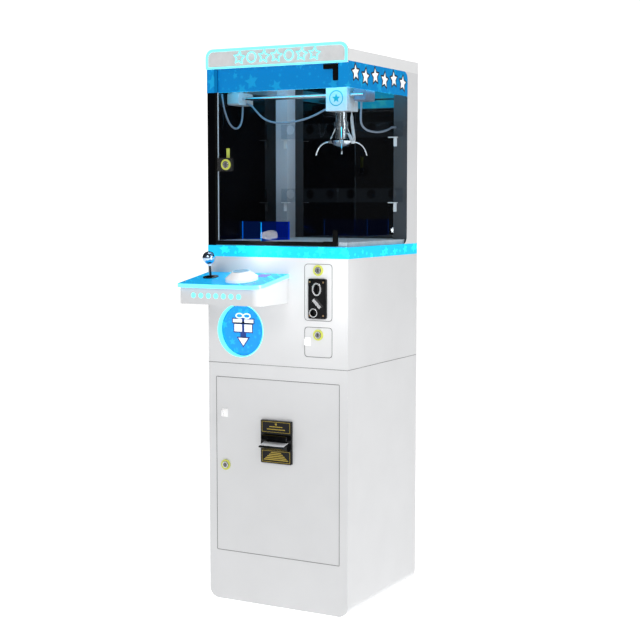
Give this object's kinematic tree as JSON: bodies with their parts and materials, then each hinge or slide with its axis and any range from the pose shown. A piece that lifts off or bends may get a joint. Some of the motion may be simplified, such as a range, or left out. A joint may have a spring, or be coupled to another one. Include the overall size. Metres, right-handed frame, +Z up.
{
  "type": "claw crane machine",
  "caption": "Tall square prize crane cabinet with glass case, gantry claw, sloping control console, round prize outlet, coin and banknote doors.",
  "frame": {"origin": "centre of the cabinet's square footprint, on the floor face of the base pan", "axes": "+Z up, -Y towards the player (front), +X to the player's right"},
  "size_m": [0.555, 0.7555, 1.942],
  "materials": {
    "cabinet_paint": "satin light grey powder coat",
    "door_paint": "satin light grey powder coat",
    "white_paint": "satin white paint",
    "inner_paint": "satin grey paint",
    "black_paint": "satin black paint",
    "lit_cyan": "edge-lit cyan acrylic printed with stars",
    "lit_blue": "back-lit blue acrylic printed with stars",
    "neon_panel": "back-lit header panel",
    "blue_acrylic": "clear blue acrylic",
    "clear_acrylic": "clear acrylic",
    "clear_glass": "clear toughened glass",
    "smoked_glass": "dark smoked glass",
    "dark_mirror": "gloss black mirror sheet",
    "board": "lit floor board",
    "prize_acrylic": "lit blue acrylic",
    "black_plastic": "gloss black plastic",
    "matte_black": "matt black plastic",
    "white_plastic": "gloss white plastic",
    "button_plastic": "blue-grey button cap",
    "display": "smoked display window",
    "circuit_board": "circuit board",
    "chrome": "polished chrome",
    "steel": "brushed steel",
    "zinc": "zinc plated steel",
    "cable": "grey cable jacket",
    "black_cable": "black cable jacket"
  },
  "bodies": {
    "cabinet": {"base_pan": "cabinet_paint", "base_cabinet": "cabinet_paint", "mid_cabinet": "cabinet_paint", "lower_band": "lit_cyan", "playfield_floor": "board", "prize_chute": "inner_paint", "outlet_ring": "lit_cyan", "chute_guards": "blue_acrylic", "rear_frame": "cabinet_paint", "rear_mirror": "dark_mirror", "left_glass": "smoked_glass", "right_glass": "clear_glass", "upper_band": "lit_blue", "roof_box": "cabinet_paint", "header_sign": "neon_panel", "side_rails": "zinc", "hanger_plates": "clear_acrylic", "hanger_brackets": "white_paint", "console_body": "cabinet_paint", "console_plate": "prize_acrylic", "console_screws": "chrome", "display_window": "display", "joystick_ring": "black_plastic", "button_housing": "white_plastic", "cash_box": "inner_paint", "electronics_tray": "circuit_board", "power_inlet": "matte_black", "pivot_pins": "zinc", "side_festoons": "black_cable"},
    "base_door_body": {"base_door": "door_paint", "bill_acceptor": "black_plastic"},
    "base_lock_body": {"base_lock": "chrome"},
    "coin_door_body": {"coin_door": "door_paint", "coin_housing": "black_plastic", "coin_faceplate": "black_plastic"},
    "coin_lever_body": {"coin_return_lever": "chrome"},
    "coin_lock_body": {"coin_lock": "chrome"},
    "cash_door_body": {"cash_door": "door_paint"},
    "cash_lock_body": {"cash_lock": "chrome"},
    "flap_body": {"prize_flap": "prize_acrylic"},
    "button_body": {"push_button": "button_plastic"},
    "gimbal_body": {"joystick_gimbal": "zinc"},
    "stick_body": {"joystick_lever": "chrome"},
    "glass_door_body": {"glass_door": "clear_glass", "glass_fittings": "black_paint", "glass_lock_plate": "matte_black"},
    "glass_lock_body": {"glass_lock": "chrome"},
    "bridge": {"bridge_trucks": "white_paint", "bridge_rods": "steel", "bridge_festoon": "black_cable"},
    "axle": {"bridge_axle": "steel"},
    "carriage": {"carriage_housing": "white_plastic", "hoist_cord": "steel"},
    "drum": {"hoist_drum": "white_plastic"},
    "claw": {"claw_coil": "chrome", "claw_cord": "cable"},
    "plunger": {"claw_plunger": "chrome"},
    "finger_front": {"claw_finger_front": "chrome"},
    "finger_right": {"claw_finger_right": "chrome"},
    "finger_left": {"claw_finger_left": "chrome"}
  },
  "joints": [
    {"name": "base_door_hinge", "type": "hinge", "parent": "cabinet", "child": "base_door_body", "pos_m": [0.239, -0.274, 0.489], "axis": [0, 0, 1], "range_deg": [0, 110]},
    {"name": "base_lock_turn", "type": "hinge", "parent": "base_door_body", "child": "base_lock_body", "pos_m": [-0.208, -0.2775, 0.487], "axis": [0, -1, 0], "range_deg": [0, 90]},
    {"name": "coin_door_hinge", "type": "hinge", "parent": "cabinet", "child": "coin_door_body", "pos_m": [0.2108, -0.274, 1.11], "axis": [0, 0, 1], "range_deg": [0, 90]},
    {"name": "coin_return_turn", "type": "hinge", "parent": "coin_door_body", "child": "coin_lever_body", "pos_m": [0.161, -0.2905, 1.0815], "axis": [0, 1, 0], "range_deg": [0, 25], "stiffness_Nm_per_rad": 0.05, "springref_deg": -22.92},
    {"name": "coin_lock_turn", "type": "hinge", "parent": "coin_door_body", "child": "coin_lock_body", "pos_m": [0.165, -0.2775, 1.185], "axis": [0, 1, 0], "range_deg": [0, 90]},
    {"name": "cash_door_hinge", "type": "hinge", "parent": "cabinet", "child": "cash_door_body", "pos_m": [0.2108, -0.274, 0.94], "axis": [0, 0, 1], "range_deg": [0, 90]},
    {"name": "cash_lock_turn", "type": "hinge", "parent": "cash_door_body", "child": "cash_lock_body", "pos_m": [0.165, -0.2775, 0.966], "axis": [0, 1, 0], "range_deg": [0, 90]},
    {"name": "flap_hinge", "type": "hinge", "parent": "cabinet", "child": "flap_body", "pos_m": [-0.1456, -0.25, 1.045], "axis": [1, 0, 0], "range_deg": [0, 70], "stiffness_Nm_per_rad": 0.05, "springref_deg": -20.05},
    {"name": "button_press", "type": "slide", "parent": "cabinet", "child": "button_body", "axis": [0, 0.1551, -0.9879], "range_m": [0, 0.005], "stiffness_N_per_m": 400, "springref_m": -0.004},
    {"name": "stick_roll", "type": "hinge", "parent": "cabinet", "child": "gimbal_body", "pos_m": [-0.212, -0.3589, 1.13698], "axis": [1, 0, 0], "range_deg": [-15, 15], "stiffness_Nm_per_rad": 0.5},
    {"name": "stick_pitch", "type": "hinge", "parent": "gimbal_body", "child": "stick_body", "pos_m": [-0.212, -0.3589, 1.13698], "axis": [0, 0.9879, 0.1551], "range_deg": [-15, 15], "stiffness_Nm_per_rad": 0.5},
    {"name": "glass_door_hinge", "type": "hinge", "parent": "cabinet", "child": "glass_door_body", "pos_m": [0.235, -0.275, 1.569], "axis": [0, 0, 1], "range_deg": [0, 110]},
    {"name": "glass_lock_turn", "type": "hinge", "parent": "glass_door_body", "child": "glass_lock_body", "pos_m": [-0.1983, -0.2805, 1.54465], "axis": [0, -1, 0], "range_deg": [0, 90]},
    {"name": "bridge_travel", "type": "slide", "parent": "cabinet", "child": "bridge", "axis": [0, 1, 0], "range_m": [-0.06, 0.175], "deforming": ["side_festoons"]},
    {"name": "axle_spin", "type": "hinge", "parent": "bridge", "child": "axle", "pos_m": [0, -0.105, 1.8213], "axis": [1, 0, 0], "range_deg": [-840, 290]},
    {"name": "carriage_travel", "type": "slide", "parent": "bridge", "child": "carriage", "axis": [1, 0, 0], "range_m": [-0.325, 0.005], "deforming": ["bridge_festoon"]},
    {"name": "hoist", "type": "slide", "parent": "carriage", "child": "claw", "axis": [0, 0, -1], "range_m": [0, 0.24], "deforming": ["hoist_cord", "claw_cord"]},
    {"name": "drum_spin", "type": "hinge", "parent": "carriage", "child": "drum", "pos_m": [0.165, -0.0928, 1.75], "axis": [1, 0, 0], "range_deg": [0, 861]},
    {"name": "finger_front_hinge", "type": "hinge", "parent": "claw", "child": "finger_front", "pos_m": [0.18566, -0.14885, 1.622], "axis": [0.8829, 0.4695, 0], "range_deg": [0, 75], "stiffness_Nm_per_rad": 0.02, "springref_deg": -45.84},
    {"name": "finger_right_hinge", "type": "hinge", "parent": "claw", "child": "finger_right", "pos_m": [0.18832, -0.07269, 1.622], "axis": [-0.848, 0.5299, 0], "range_deg": [0, 75], "stiffness_Nm_per_rad": 0.02, "springref_deg": -45.84},
    {"name": "finger_left_hinge", "type": "hinge", "parent": "claw", "child": "finger_left", "pos_m": [0.12103, -0.10846, 1.622], "axis": [-0.0349, -0.9994, 0], "range_deg": [0, 75], "stiffness_Nm_per_rad": 0.02, "springref_deg": -45.84},
    {"name": "plunger_slide", "type": "slide", "parent": "claw", "child": "plunger", "axis": [0, 0, 1], "range_m": [0, 0.008]}
  ],
  "couplings": [
    {"joint": "axle_spin", "follows": "bridge_travel", "rad_per_m": -83.333},
    {"joint": "drum_spin", "follows": "hoist", "rad_per_m": 62.5},
    {"joint": "finger_front_hinge", "follows": "plunger_slide", "rad_per_m": 163.6},
    {"joint": "finger_right_hinge", "follows": "plunger_slide", "rad_per_m": 163.6},
    {"joint": "finger_left_hinge", "follows": "plunger_slide", "rad_per_m": 163.6}
  ]
}
